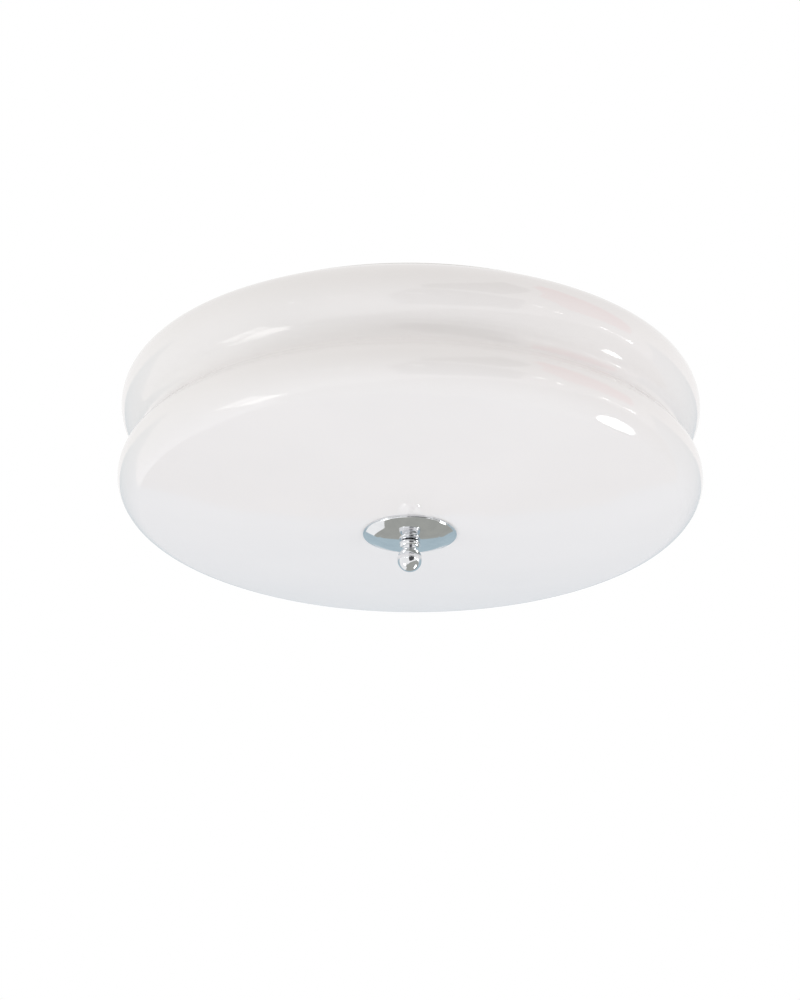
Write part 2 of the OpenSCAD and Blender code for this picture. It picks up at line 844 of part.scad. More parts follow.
module terminal_screws() {
    tip_h = wire_h + tail_step + tail_r + 0.2;
    head_z = wire_h + insert_r + 0.6;
    head_r = shaft_r - 0.2;
    head_h = 2;
    color("#c2c5c8")
        for (i = [0:pole_count - 1], y = [clamp_y, block_w - clamp_y])
            translate([pole_x(i), block_y + y, floor_z]) {
                translate([0, 0, tip_h])
                    cylinder(r = m3_r, h = head_z - tip_h);
                difference() {
                    translate([0, 0, head_z])
                        cylinder(r = head_r, h = head_h);
                    translate([-head_r, -0.3, head_z + head_h / 2])
                        cube([2 * head_r, 0.6, head_h]);
                }
            }
}

module block_screws() {
    tail = 2;
    color("#b9bcc0")
        for (i = [0:pole_count - 2])
            translate([pole_x(i + 0.5), block_y + block_w / 2, 0]) {
                translate([0, 0, floor_z + web_h])
                    pan_head(block_head_r, block_head_h);
                translate([0, 0, under_z - tail])
                    cylinder(r = block_screw_r, h = web_h + pan_t + tail);
            }
}

module earth_screw() {
    tail = 3;
    color("#cdb268")
        translate([earth_x, earth_y, 0]) {
            translate([0, 0, floor_z + star_t + lug_t])
                pan_head(m4_head_r, m4_head_h);
            translate([0, 0, under_z - tail])
                cylinder(r = m4_r, h = pan_t + star_t + lug_t + tail);
        }
}

module earth_washer() {
    color("#b4b8bb")
        translate([earth_x, earth_y, floor_z])
            difference() {
                cylinder(r = lug_r, h = star_t);
                translate([0, 0, -1])
                    cylinder(r = m4_r + hole_gap, h = star_t + 2);
                for (i = [0:star_teeth - 1])
                    rotate([0, 0, 360 * i / star_teeth])
                        translate([lug_r, 0, -1])
                            cylinder(r = 0.6, h = star_t + 2);
            }
}

// A ring tongue under the screw's head, with a crimped barrel towards the block
module earth_lug() {
    barrel_l = 6;
    barrel_r = earth_lead_d / 2 + 0.7;
    axis_z = floor_z + star_t + barrel_r;
    color("#d6d8d9")
        translate([earth_x, earth_y, 0]) {
            ring(m4_r + hole_gap, lug_r, floor_z + star_t, lug_t);
            difference() {
                union() {
                    translate([-lug_r - barrel_l, 0, axis_z])
                        rotate([0, 90, 0])
                            cylinder(r = barrel_r, h = barrel_l);
                    translate([-lug_r - barrel_l + 1, -barrel_r, floor_z + star_t])
                        cube([barrel_l + lug_r - m4_r - 2, 2 * barrel_r, lug_t]);
                }
                translate([-lug_r - barrel_l - 1, 0, axis_z])
                    rotate([0, 90, 0])
                        cylinder(r = earth_lead_d / 2 + fit_gap, h = barrel_l + 1.5);
                translate([0, 0, floor_z])
                    cylinder(r = m4_r + hole_gap, h = star_t + lug_t + 1);
            }
        }
}

module earth_lead() {
    barrel_r = earth_lead_d / 2 + 0.7;
    axis_z = floor_z + star_t + barrel_r;
    from = [pole_x(2), block_y + tail_in, run_z];
    to = [earth_x - lug_r - 1.5, earth_y, axis_z];
    color("#8dbb4a")
        tube(smooth([
            from, from - [0, tail_in + 1, 0], from + [2, -tail_in - 4.5, 0],
            [(from.x + to.x) / 2 - 2, earth_y - 3, run_z - 0.5],
            to - [7.5, 0, 0], to - [4.8, 0, 0], to
        ], 4), earth_lead_d / 2, 8);
}

// A soft sleeve through the glass, with its flange inside the shade
module hole_bush() {
    sleeve_r = shade_hole_d / 2 - slip_gap;
    seat_z = crown_at(shade_hole_d / 2 + bush_flange_w) + glass_t + slip_gap;
    foot_z = crown_z + 0.2;
    color("#dcdcd8")
        turned([
            [rod_r + hole_gap, foot_z], [sleeve_r, foot_z], [sleeve_r, seat_z],
            [sleeve_r + bush_flange_w, seat_z], [sleeve_r + bush_flange_w, seat_z + bush_flange_t],
            [rod_r + hole_gap, seat_z + bush_flange_t]
        ]);
}

// A clear soft ring between the cap's rim and the glass
module cap_ring() {
    outer = cap_d / 2 - 0.7;
    inner = outer - ring_w;
    top_z = crown_at(inner) - slip_gap;
    color("#e6e6e4")
        turned([[inner, rim_z], [outer, rim_z], [outer, top_z], [inner, top_z]]);
}

// Spun cap: a short lip, a sloping edge, then a gently crowned face
module chrome_cap() {
    rim_r = cap_d / 2;
    edge_r = rim_r - cap_edge_w;
    face_line = bent([
        [rim_r, rim_z - cap_lip_h],
        [edge_r, rim_z - cap_edge_h - cap_lip_h],
        [cap_hole_r, cap_foot_z]
    ], cap_bend_r, 8);
    color("#c9ccd0")
        turned_sheet(concat([[rim_r, rim_z]], face_line), cap_t);
}

// Turned finial: a round-edged collar, a short neck and a ball, with a blind tapped hole
module ball_finial() {
    ball_r = ball_d / 2;
    neck_r = neck_d / 2;
    edge_r = collar_h / 2;
    start = asin(neck_r / ball_r);
    color("#d0d3d6")
        turned(concat(
            [[tapped_r, finial_z - tapped_depth], [tapped_r, finial_z]],
            arc([collar_d / 2 - edge_r, finial_z - edge_r], edge_r, 90, -80, 10),
            [[neck_r, finial_z - collar_h - 0.2]],
            arc([0, ball_z], ball_r, 90 - start, -90, 18),
            [[0, finial_z - tapped_depth]]
        ));
}

module bulb_globe(i) {
    seat = asin(globe_seat_r / globe_r);
    outside = arc([0, globe_c], globe_r, seat - 90, 90, 16);
    seat_in = asin((globe_seat_r - globe_t) / (globe_r - globe_t));
    inside = arc([0, globe_c], globe_r - globe_t, 90, seat_in - 90, 16);
    foot_x = globe_x + 0.4;
    color("#f7f5f0")
        at_holder(i)
            along_x(0, holder_z)
                turned(concat(outside, inside, [[globe_seat_r - globe_t, foot_x], [globe_seat_r, foot_x]]));
}

// Moulded housing: a narrow neck that flares out to carry the globe
module bulb_body(i) {
    seat_r = globe_seat_r;
    neck_l = 4;
    flare = [
        for (k = [0:10])
            let (t = k / 10)
                [bulb_neck_r + (seat_r - bulb_neck_r) * (1 - cos(90 * t)) ^ 0.8,
                 bulb_body_x + neck_l + (bulb_body_l - neck_l - 2) * t]
    ];
    color("#f3f3f1")
        at_holder(i)
            along_x(0, holder_z)
                turned(concat(
                    [[0, bulb_body_x], [bulb_neck_r - 0.5, bulb_body_x], [bulb_neck_r, bulb_body_x + 0.5]],
                    flare,
                    [[seat_r, globe_x], [0, globe_x]]
                ));
}

// Screw cap: a rolled shell that narrows to the insulator
module bulb_cap(i) {
    r = bulb_cap_d / 2;
    color("#bfc2c4")
        at_holder(i)
            along_x(0, holder_z)
                turned([
                    [0, bulb_cap_x], [r - 3, bulb_cap_x], [r - 1, bulb_cap_x + 1.5], [r, bulb_cap_x + 3.5],
                    [r, bulb_body_x - 2], [r - 0.4, bulb_body_x - 1.4],
                    [r - 0.4, bulb_body_x], [0, bulb_body_x]
                ]);
}

// Dark insulator with the metal contact on its end
module bulb_contact(i) {
    r = bulb_cap_d / 2;
    color("#4a4a4c")
        at_holder(i)
            along_x(0, holder_z)
                turned([
                    [0, tip_x], [tip_r - 1, tip_x], [tip_r, tip_x + 0.5], [tip_r, tip_x + tip_t],
                    [tip_r + 1, tip_x + tip_t], [r - 3.4, bulb_cap_x - fit_gap], [0, bulb_cap_x - fit_gap]
                ]);
}

ceiling_bracket();
pan_screws();
pan_washers();
thumb_nuts();
ceiling_pan();
foam_ring();
centre_rod();
rod_plate_washer();
rod_upper_nut();
rod_spring_washer();
rod_lower_nut();
bracket_rivets();
holder_screws();
lead_grommets();
live_tails();
neutral_tails();
terminal_block();
terminal_inserts();
terminal_screws();
block_screws();
earth_screw();
earth_washer();
earth_lug();
earth_lead();
glass_shade();
hole_bush();
cap_ring();
chrome_cap();
ball_finial();
for (i = [0:holder_count - 1]) {
    holder_bracket(i);
    lampholder(i);
    screw_shell(i);
    centre_contact(i);
    lead_sleeve(i);
    bulb_globe(i);
    bulb_body(i);
    bulb_cap(i);
    bulb_contact(i);
}
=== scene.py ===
import json
import math
import bpy
import bmesh
from mathutils import Matrix, Quaternion, Vector


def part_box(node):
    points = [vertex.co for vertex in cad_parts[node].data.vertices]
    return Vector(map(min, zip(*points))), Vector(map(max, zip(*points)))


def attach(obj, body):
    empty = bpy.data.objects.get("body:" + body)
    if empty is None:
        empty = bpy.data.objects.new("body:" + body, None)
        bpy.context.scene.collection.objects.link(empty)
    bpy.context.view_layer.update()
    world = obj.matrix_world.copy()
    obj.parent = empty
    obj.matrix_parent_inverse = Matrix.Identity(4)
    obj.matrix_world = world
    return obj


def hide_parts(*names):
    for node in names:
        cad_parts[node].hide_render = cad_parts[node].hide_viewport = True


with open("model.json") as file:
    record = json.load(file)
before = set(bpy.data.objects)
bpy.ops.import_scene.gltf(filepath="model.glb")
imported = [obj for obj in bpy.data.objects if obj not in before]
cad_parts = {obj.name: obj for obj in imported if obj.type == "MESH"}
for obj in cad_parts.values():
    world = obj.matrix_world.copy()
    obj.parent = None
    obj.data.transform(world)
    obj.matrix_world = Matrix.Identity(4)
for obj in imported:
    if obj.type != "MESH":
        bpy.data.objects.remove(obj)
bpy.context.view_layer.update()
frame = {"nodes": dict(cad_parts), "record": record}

MM = 0.001
NODES = frame["nodes"]
RECORD = frame["record"]
SLOT_OF = {part["node"]: part["material_slot"] for part in RECORD["subparts"]}
BODY_OF = {node: body for body, members in RECORD["behaviour"]["bodies"].items() for node in members}

# Points closer together than this are joined. Edges sharper than a crease, in degrees, stay sharp
JOIN_DISTANCE = 0.000002
CAD_CREASE = 30
TURNED_CREASE = 35
THREAD_CREASE = 50

# Shade, in metres. Each outline point is (distance from the rod, height).
# The upper tier's arc ends at WAIST_TURN degrees from level, and the waist's arc carries on from there
SHADE_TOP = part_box("glass_shade")[1].z
LOWER_R = 200 * MM
UPPER_R = 199 * MM
LOWER_EDGE_R = 19.5 * MM
UPPER_EDGE_R = 24.5 * MM
TIER_SPACING = 53.5 * MM
WAIST_R = 10 * MM
WAIST_TURN = -52
CROWN_DROP = 37 * MM
GLASS_T = 3 * MM
SHOULDER_W = 15.5 * MM
HOLE_R = 7 * MM
UPPER_CENTRE = (UPPER_R - UPPER_EDGE_R, SHADE_TOP - UPPER_EDGE_R)
LOWER_CENTRE = (LOWER_R - LOWER_EDGE_R, UPPER_CENTRE[1] - TIER_SPACING)
CROWN_Z = LOWER_CENTRE[1] - CROWN_DROP
GLASS_WAVES = 0.25 * MM
GLASS_WAVES_PER_METRE = 7.0

# Cap and finial
CAP_LOW, CAP_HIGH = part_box("chrome_cap")
CAP_R = 30.9 * MM
CAP_LIP_H = 0.5 * MM
CAP_LIP_BEND_R = 0.8 * MM
CAP_EDGE_W = 8 * MM
CAP_EDGE_H = 3.3 * MM
CAP_BEND_R = 16 * MM
CAP_HOLE_R = 3.3 * MM
CAP_T = 1 * MM
FINIAL_LOW, FINIAL_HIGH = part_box("ball_finial")
FINIAL_BALL_R = 8.45 * MM
FINIAL_HOLE_R = 3.05 * MM
FINIAL_HOLE_L = 13 * MM
COLLAR_R = 7.4 * MM
COLLAR_H = 4.3 * MM
NECK_R = 5.1 * MM
NECK_STEP = 0.2 * MM
NECK_HOLLOW = 0.3 * MM

# Threads as pitch and depth, and the lampholders' places round the rod in degrees
LAMP_CAP_R = 13.2 * MM
LAMP_THREAD = (3.629 * MM, 1 * MM)
ROD_THREAD = (1 * MM, 0.5 * MM)
ROD_CHAMFER = 0.6 * MM
HOLDER_ANGLES = (30, 150, 270)

# Camera, as fitted to the photograph's frame: pixels, metres and degrees
PHOTO_W, PHOTO_H = 800, 1000
CAMERA_DISTANCE = 3.0
CAMERA_BELOW = 24.76
CAMERA_ROLL = 0.43
PIXELS_PER_METRE = 1452.4
SHADE_PIXEL = (410.8, 413.1)
SENSOR = 36.0
SIGHT_END = 60

# Soft lamps: name, place, size, power in watts and colour. The colours hold the room's slight cast
ROOM_LIGHT = (0.8, 0.775, 0.765)
LAMP_AIM = Vector((0, 0, -0.07))
SOFT_LAMPS = (
    ("low_panel", (0.0, -0.6, -3.0), 2.4, 4.8, (0.7, 0.8, 1.0)),
    ("upper_left_panel", (-2.6, -1.6, 0.8), 1.6, 2.6, (0.93, 1.0, 0.86)),
    ("upper_right_panel", (2.6, -1.0, 1.0), 1.6, 0.6, (1.0, 0.6, 0.6)),
    ("lower_left_panel", (-2.4, -0.6, -2.2), 1.6, 18.6, (0.93, 0.97, 1.0)),
    ("lower_right_panel", (2.4, -0.6, -2.2), 1.6, 20.0, (0.95, 0.97, 1.0)),
    ("far_low_panel", (0.0, 3.0, -1.0), 1.6, 13.0, (1.0, 0.84, 0.97)),
)

# Bright things that only gloss shows: name, then bearing, height above level, width and height across
# in degrees, then brightness and colour. Each is a level rectangle, but for those in the two tables below
GLINT_DISTANCE = 3.0
WHITE = (1, 1, 1)
DAYLIGHT = (1.0, 0.995, 0.97)
WARM_WHITE = (1, 0.97, 0.97)
GLINTS = (
    ("round_lamp", 63, -45.8, 28, 12.0, 7.0, WHITE),
    ("window_slat_1", -99.0, -40.5, 18, 1.8, 3.2, DAYLIGHT),
    ("window_slat_2", -98.5, -43.3, 18, 1.8, 3.2, DAYLIGHT),
    ("window_slat_3", -98.0, -46.1, 17, 1.8, 3.2, DAYLIGHT),
    ("window_pane", -96.0, -53.5, 15, 9.0, 3.2, DAYLIGHT),
    ("sill_lamp_1", 178, -1, 5.0, 1.4, 4.0, WHITE),
    ("sill_lamp_2", 167, -0.5, 1.6, 1.6, 4.0, WHITE),
    ("sill_lamp_3", 133, 0.5, 4.5, 1.8, 5.0, WHITE),
    ("sill_lamp_4", 125, -2.5, 3.0, 2.2, 6.0, (1, 0.98, 0.97)),
    ("rail_lamp", 99, -4.5, 18.0, 1.2, 4.5, WARM_WHITE),
    ("rail_end_far", 91.5, -4.5, 3.5, 3.4, 6.0, (1, 0.97, 0.98)),
    ("rail_end_near", 105, -3.5, 3.5, 2.0, 5.0, WARM_WHITE),
    ("left_sill_lamp_1", -136, 1, 2.5, 2.2, 4.0, WHITE),
    ("left_sill_lamp_2", -151, -2.5, 3.0, 2.0, 3.5, WHITE),
    ("left_sill_lamp_3", -157.5, -2, 2.5, 1.8, 3.5, WHITE),
)
GLINT_SHAPE = {"round_lamp": "ELLIPSE"}
GLINT_TILT = {"round_lamp": -16}

# Cards that gloss shows in place of the studio: colour, then corners as bearing and height in degrees.
# Each card hangs a little nearer than the one before it, so that it covers it where they cross
SURROUNDINGS_DISTANCE = 6.0
SURROUNDINGS_GAP = 0.05
SURROUNDINGS_EDGE_STEPS = 6
SURROUNDINGS = {
    "far_wall": (
        (0.45, 0.56, 0.62),
        ((-80, 14), (80, 14), (75, -12), (52, -24), (25, -27), (0, -27.5), (-14, -26), (-38, -19), (-60, -8)),
    ),
    "grey_floor": (
        (0.40, 0.405, 0.38),
        (
            (-20, -24.5),
            (0, -27.5),
            (25, -27),
            (52, -24),
            (75, -14),
            (110, -14),
            (140, -32),
            (170, -48),
            (-160, -62),
            (-111, -62),
            (-46, -65),
            (-24, -44),
        ),
    ),
    "dark_doorway": (
        (0.08, 0.08, 0.085),
        ((138, 8), (180, 12), (-172, -6), (-176, -34), (165, -34), (140, -20)),
    ),
    "shadowed_corner": (
        (0.05, 0.05, 0.05),
        ((126, 44), (146, 16), (176, 14), (176, 26), (150, 44), (134, 56)),
    ),
    "red_curtain": (
        (0.95, 0.2, 0.25),
        ((84, 30), (90, 10), (120, 12), (128, 30), (114, 56), (96, 62)),
    ),
}

FLOOR_HALF = 12.0
FLOOR_LEVEL = -4.0


# Outlines of the turned pieces


def point_at(centre, radius, angle):
    """The point at an angle in degrees and a distance from the centre, in the outline's plane."""
    a = math.radians(angle)
    return (centre[0] + radius * math.cos(a), centre[1] + radius * math.sin(a))


def arc(centre, radius, start, end, steps):
    """Points on an arc, from one angle to the other."""
    return [point_at(centre, radius, start + (end - start) * i / steps) for i in range(steps + 1)]


def bearing(a, b):
    """Angle in degrees of the line from a to b."""
    return math.degrees(math.atan2(b[1] - a[1], b[0] - a[0]))


def bend(a, b, c, radius, steps):
    """Rounds the corner at b, between a and c."""
    a, b, c = Vector(a), Vector(b), Vector(c)
    u = (a - b).normalized()
    w = (c - b).normalized()
    half = u.angle(w) / 2
    middle = b + (u + w).normalized() * radius / math.sin(half)
    start = bearing(middle, b + u * radius / math.tan(half))
    end = bearing(middle, b + w * radius / math.tan(half))
    sweep = (end - start + 180) % 360 - 180
    return arc(middle, radius, start, start + sweep, steps)


def beside(points, distance):
    """The line that runs a distance to the right of points, with mitred corners."""
    out = []
    last = len(points) - 1
    for i, p in enumerate(points):
        before = Vector(points[max(i, 1)]) - Vector(points[max(i, 1) - 1])
        after = Vector(points[min(i, last - 1) + 1]) - Vector(points[min(i, last - 1)])
        w = before.normalized()
        u = after.normalized()
        mitre = (Vector((u.y, -u.x)) + Vector((w.y, -w.x))) / (1 + u.dot(w))
        out.append(tuple(Vector(p) + distance * mitre))
    return out


def shade_outline():
    """The shade's wall as one closed outline: shoulder, two tiers, crowned bottom, and back inside."""
    opening_r = UPPER_CENTRE[0] - SHOULDER_W
    waist = point_at(UPPER_CENTRE, UPPER_EDGE_R + WAIST_R, WAIST_TURN)
    lean = math.degrees(math.acos((LOWER_EDGE_R + WAIST_R) / math.dist(LOWER_CENTRE, waist)))
    waist_low = bearing(LOWER_CENTRE, waist) - lean
    crown_r = (LOWER_CENTRE[0] ** 2 - LOWER_EDGE_R ** 2 + CROWN_DROP ** 2) / (2 * (CROWN_DROP - LOWER_EDGE_R))
    crown = (0, CROWN_Z + crown_r)
    tilt = math.degrees(math.asin(LOWER_CENTRE[0] / (crown_r - LOWER_EDGE_R)))
    hole = math.degrees(math.asin(HOLE_R / crown_r))
    outside = [(opening_r + SHOULDER_W * i / 4, SHADE_TOP) for i in range(4)]
    outside += arc(UPPER_CENTRE, UPPER_EDGE_R, 90, WAIST_TURN, 44)
    outside += arc(waist, WAIST_R, WAIST_TURN + 180, waist_low + 180, 26)[1:]
    outside += arc(LOWER_CENTRE, LOWER_EDGE_R, waist_low, tilt - 90, 40)
    outside += arc(crown, crown_r, tilt - 90, hole - 90, 40)[1:]
    lip = arc((opening_r, SHADE_TOP - GLASS_T / 2), GLASS_T / 2, 270, 90, 8)
    inside = beside(outside, GLASS_T)
    return outside + inside[::-1] + lip[1:-1]


def cap_outline():
    """The spun cap: short lip, rolled edge and gently crowned face, with the sheet's thickness."""
    top = (CAP_R, CAP_HIGH.z)
    lip = (CAP_R, CAP_HIGH.z - CAP_LIP_H)
    edge = (CAP_R - CAP_EDGE_W, CAP_HIGH.z - CAP_EDGE_H - CAP_LIP_H)
    face = (CAP_HOLE_R, CAP_LOW.z)
    rolled = bend(lip, edge, face, CAP_BEND_R, 32)
    start = rolled[-1]
    crowned = []
    steps = 28
    for i in range(1, steps + 1):
        r = start[0] + (face[0] - start[0]) * i / steps
        share = (r ** 2 - face[0] ** 2) / (start[0] ** 2 - face[0] ** 2)
        crowned.append((r, face[1] + (start[1] - face[1]) * share))
    outside = [top] + bend(top, lip, edge, CAP_LIP_BEND_R, 6) + rolled + crowned
    return outside + beside(outside, CAP_T)[::-1]


def finial_outline():
    """The turned finial: collar, hollowed neck and ball, with its blind hole."""
    top = FINIAL_HIGH.z
    edge_r = COLLAR_H / 2
    hole_end = top - FINIAL_HOLE_L
    hole = [(0, hole_end), (FINIAL_HOLE_R, hole_end), (FINIAL_HOLE_R, top)]
    collar = arc((COLLAR_R - edge_r, top - edge_r), edge_r, 90, -80, 28)
    neck_top = (NECK_R, top - COLLAR_H - NECK_STEP)
    start = math.degrees(math.asin(NECK_R / FINIAL_BALL_R))
    ball = arc((0, FINIAL_LOW.z + FINIAL_BALL_R), FINIAL_BALL_R, 90 - start, -90, 60)
    neck = ((neck_top[0] + ball[0][0]) / 2 - NECK_HOLLOW, (neck_top[1] + ball[0][1]) / 2)
    return hole + collar + [neck_top, neck] + ball


def threaded_line(radius, low, high, pitch, per_turn):
    """Points up a straight wall, close enough together for a thread."""
    count = math.ceil((high - low) / pitch * per_turn)
    return [(radius, low + (high - low) * i / count) for i in range(count + 1)]


# Building blocks for the node trees


def add_node(tree, kind, **settings):
    """A new node in a tree, with its settings."""
    made = tree.nodes.new(kind)
    for key, value in settings.items():
        setattr(made, key, value)
    return made


def result_of(tree, operation, a, b=None):
    """What a Math node makes of a and b, each a number or a socket."""
    made = add_node(tree, "ShaderNodeMath", operation=operation)
    for socket, value in zip(made.inputs, (a, b)):
        if isinstance(value, (int, float)):
            socket.default_value = value
        elif value is not None:
            tree.links.new(value, socket)
    return made.outputs["Value"]


class Finish:
    """One material: a Principled shader and the nodes that feed it. Scales are clouds per metre."""

    def __init__(self, name, colour, roughness, metallic=0.0, **sockets):
        self.material = bpy.data.materials.new(name)
        self.material.use_nodes = True
        self.tree = self.material.node_tree
        self.shader = self.tree.nodes["Principled BSDF"]
        self.shader.inputs["Base Color"].default_value = (*colour, 1.0)
        self.shader.inputs["Roughness"].default_value = roughness
        self.shader.inputs["Metallic"].default_value = metallic
        for label, value in sockets.items():
            self.shader.inputs[label.replace("_", " ")].default_value = value
        self.place = self.node("ShaderNodeTexCoord").outputs["Object"]

    def node(self, kind, **settings):
        return add_node(self.tree, kind, **settings)

    def link(self, out, socket):
        self.tree.links.new(out, socket)

    def stretched(self, scale):
        """Object coordinates, scaled by three numbers."""
        mapping = self.node("ShaderNodeMapping")
        mapping.inputs["Scale"].default_value = scale
        self.link(self.place, mapping.inputs["Vector"])
        return mapping.outputs["Vector"]

    def noise(self, scale, detail=3.0):
        """Clouds, from 0 to 1."""
        made = self.node("ShaderNodeTexNoise")
        made.inputs["Scale"].default_value = scale
        made.inputs["Detail"].default_value = detail
        self.link(self.place, made.inputs["Vector"])
        return made.outputs["Fac"]

    def cells(self, scale, place=None):
        """Small cells: the distance to the middle of the nearest one."""
        made = self.node("ShaderNodeTexVoronoi")
        made.inputs["Scale"].default_value = scale
        self.link(place or self.place, made.inputs["Vector"])
        return made.outputs["Distance"]

    def ranged(self, value, low, high, out_low=0.0, out_high=1.0):
        """The value's range from low to high, laid over another range."""
        made = self.node("ShaderNodeMapRange", clamp=True)
        made.inputs["From Min"].default_value = low
        made.inputs["From Max"].default_value = high
        made.inputs["To Min"].default_value = out_low
        made.inputs["To Max"].default_value = out_high
        self.link(value, made.inputs["Value"])
        return made.outputs["Result"]

    def coloured(self, share, first, second):
        """The base colour, from the first to the second as the share goes from 0 to 1."""
        mix = self.node("ShaderNodeMix", data_type="RGBA")
        self.link(share, mix.inputs["Factor"])
        colours = [socket for socket in mix.inputs if socket.type == "RGBA"]
        colours[0].default_value = (*first, 1.0)
        colours[1].default_value = (*second, 1.0)
        result = [socket for socket in mix.outputs if socket.type == "RGBA"][0]
        self.link(result, self.shader.inputs["Base Color"])

    def mottled(self, first, second, scale, detail=3.0, low=0.3, high=0.7):
        """The base colour, in clouds of two colours."""
        self.coloured(self.ranged(self.noise(scale, detail), low, high), first, second)

    def uneven_gloss(self, smoothest, roughest, scale, detail=3.0):
        """Roughness that varies in clouds."""
        roughness = self.ranged(self.noise(scale, detail), 0.3, 0.7, smoothest, roughest)
        self.link(roughness, self.shader.inputs["Roughness"])

    def bump(self, height, distance):
        """Relief of a depth in metres, on top of the relief that is there."""
        made = self.node("ShaderNodeBump")
        made.inputs["Strength"].default_value = 1.0
        made.inputs["Distance"].default_value = distance
        self.link(height, made.inputs["Height"])
        if self.shader.inputs["Normal"].is_linked:
            self.link(self.shader.inputs["Normal"].links[0].from_socket, made.inputs["Normal"])
        self.link(made.outputs["Normal"], self.shader.inputs["Normal"])


# Finishes


def opal_glass():
    """Blown opal glass: milky, faintly clouded, polished, with the slow waves of hand work."""
    glass = Finish("opal_glass", (0.93, 0.922, 0.916), 0.03, IOR=1.5)
    glass.mottled((0.94, 0.932, 0.926), (0.92, 0.913, 0.908), 9.0, detail=2.0)
    glass.uneven_gloss(0.02, 0.045, 45.0)
    glass.bump(glass.noise(16.0, 1.0), 0.0006)
    glass.bump(glass.noise(120.0, 2.0), 0.00002)
    return glass.material


def chrome():
    """Polished chrome plate with a faint haze."""
    plate = Finish("chrome", (0.8, 0.81, 0.83), 0.05, metallic=1.0)
    plate.mottled((0.82, 0.83, 0.845), (0.76, 0.77, 0.79), 140.0, detail=4.0, low=0.35)
    plate.uneven_gloss(0.03, 0.08, 60.0)
    plate.bump(plate.noise(90.0, 1.0), 0.00006)
    return plate.material


def white_paint():
    """White powder coat with its orange peel."""
    paint = Finish("white_paint", (0.86, 0.86, 0.85), 0.34, Coat_Weight=0.25)
    paint.mottled((0.87, 0.87, 0.862), (0.84, 0.84, 0.83), 14.0)
    paint.uneven_gloss(0.28, 0.42, 80.0)
    paint.bump(paint.noise(520.0, 2.0), 0.00012)
    return paint.material


def zinc_steel():
    """Bright zinc plate: pale grey-blue with cloudy crystals."""
    zinc = Finish("zinc_steel", (0.66, 0.68, 0.7), 0.33, metallic=1.0)
    zinc.mottled((0.7, 0.72, 0.745), (0.56, 0.575, 0.585), 160.0, detail=4.0, low=0.35, high=0.65)
    zinc.uneven_gloss(0.24, 0.44, 420.0, detail=4.0)
    zinc.bump(zinc.noise(900.0, 2.0), 0.00003)
    return zinc.material


def nickel():
    """Satin nickel plate, warmer than zinc."""
    plate = Finish("nickel", (0.7, 0.68, 0.63), 0.26, metallic=1.0)
    plate.mottled((0.73, 0.71, 0.66), (0.62, 0.6, 0.55), 180.0)
    plate.uneven_gloss(0.2, 0.36, 500.0, detail=4.0)
    return plate.material


def foam():
    """Dark closed-cell foam, with painted shade in the pits of its pores."""
    cell = Finish("foam", (0.04, 0.04, 0.043), 0.85)
    pores_and_pit_shade = cell.cells(900.0)
    # The pores' middles, where the bump sinks into pits, are darkest: painted shade in the pits
    cell.coloured(cell.ranged(pores_and_pit_shade, 0.1, 0.6), (0.02, 0.02, 0.022), (0.055, 0.055, 0.06))
    cell.bump(pores_and_pit_shade, 0.0004)
    return cell.material


def rivet_aluminium():
    """Bare aluminium, slightly dulled."""
    metal = Finish("rivet_aluminium", (0.74, 0.75, 0.76), 0.38, metallic=1.0)
    metal.mottled((0.77, 0.78, 0.79), (0.64, 0.65, 0.66), 300.0)
    metal.uneven_gloss(0.3, 0.5, 700.0)
    return metal.material


def ceramic():
    """White ceramic with a creamy body under an uneven glaze."""
    glaze = Finish("ceramic", (0.84, 0.82, 0.77), 0.16, Coat_Weight=0.6)
    glaze.mottled((0.86, 0.845, 0.8), (0.81, 0.79, 0.735), 60.0)
    glaze.uneven_gloss(0.12, 0.24, 200.0)
    glaze.bump(glaze.noise(130.0, 2.0), 0.00015)
    return glaze.material


def brass():
    """Bright brass with a little tarnish."""
    metal = Finish("brass", (0.8, 0.6, 0.28), 0.24, metallic=1.0)
    metal.mottled((0.83, 0.64, 0.32), (0.6, 0.42, 0.18), 140.0, detail=4.0, low=0.35)
    metal.uneven_gloss(0.18, 0.36, 400.0)
    return metal.material


def grommet_rubber():
    """Black rubber with a dusty bloom."""
    rubber = Finish("grommet_rubber", (0.03, 0.03, 0.032), 0.6)
    rubber.mottled((0.025, 0.025, 0.027), (0.07, 0.068, 0.065), 250.0, low=0.4, high=0.8)
    rubber.bump(rubber.noise(900.0), 0.00006)
    return rubber.material


def glass_fibre_sleeve():
    """Braided glass-fibre sleeving, varnished to a warm white."""
    braid = Finish("glass_fibre_sleeve", (0.8, 0.77, 0.68), 0.5, Sheen_Weight=0.2)
    strands = braid.cells(1400.0, place=braid.stretched((1.0, 1.0, 0.6)))
    braid.coloured(braid.ranged(strands, 0.1, 0.7), (0.84, 0.81, 0.73), (0.62, 0.58, 0.48))
    braid.bump(strands, 0.0003)
    return braid.material


def copper():
    """Bare copper wire."""
    metal = Finish("copper", (0.8, 0.42, 0.26), 0.3, metallic=1.0)
    metal.mottled((0.84, 0.46, 0.3), (0.62, 0.3, 0.17), 300.0)
    return metal.material


def block_plastic():
    """White moulded plastic of the terminal block."""
    moulding = Finish("block_plastic", (0.83, 0.815, 0.77), 0.32)
    moulding.mottled((0.845, 0.83, 0.79), (0.81, 0.79, 0.74), 70.0)
    moulding.bump(moulding.noise(700.0), 0.00005)
    return moulding.material


def earth_insulation():
    """Green insulation with yellow in slanting bands."""
    cover = Finish("earth_insulation", (0.1, 0.4, 0.1), 0.36)
    bands = cover.node("ShaderNodeTexWave", wave_type="BANDS", bands_direction="DIAGONAL")
    bands.inputs["Scale"].default_value = 55.0
    cover.link(cover.place, bands.inputs["Vector"])
    cover.coloured(cover.ranged(bands.outputs["Fac"], 0.45, 0.55), (0.07, 0.33, 0.08), (0.78, 0.68, 0.06))
    return cover.material


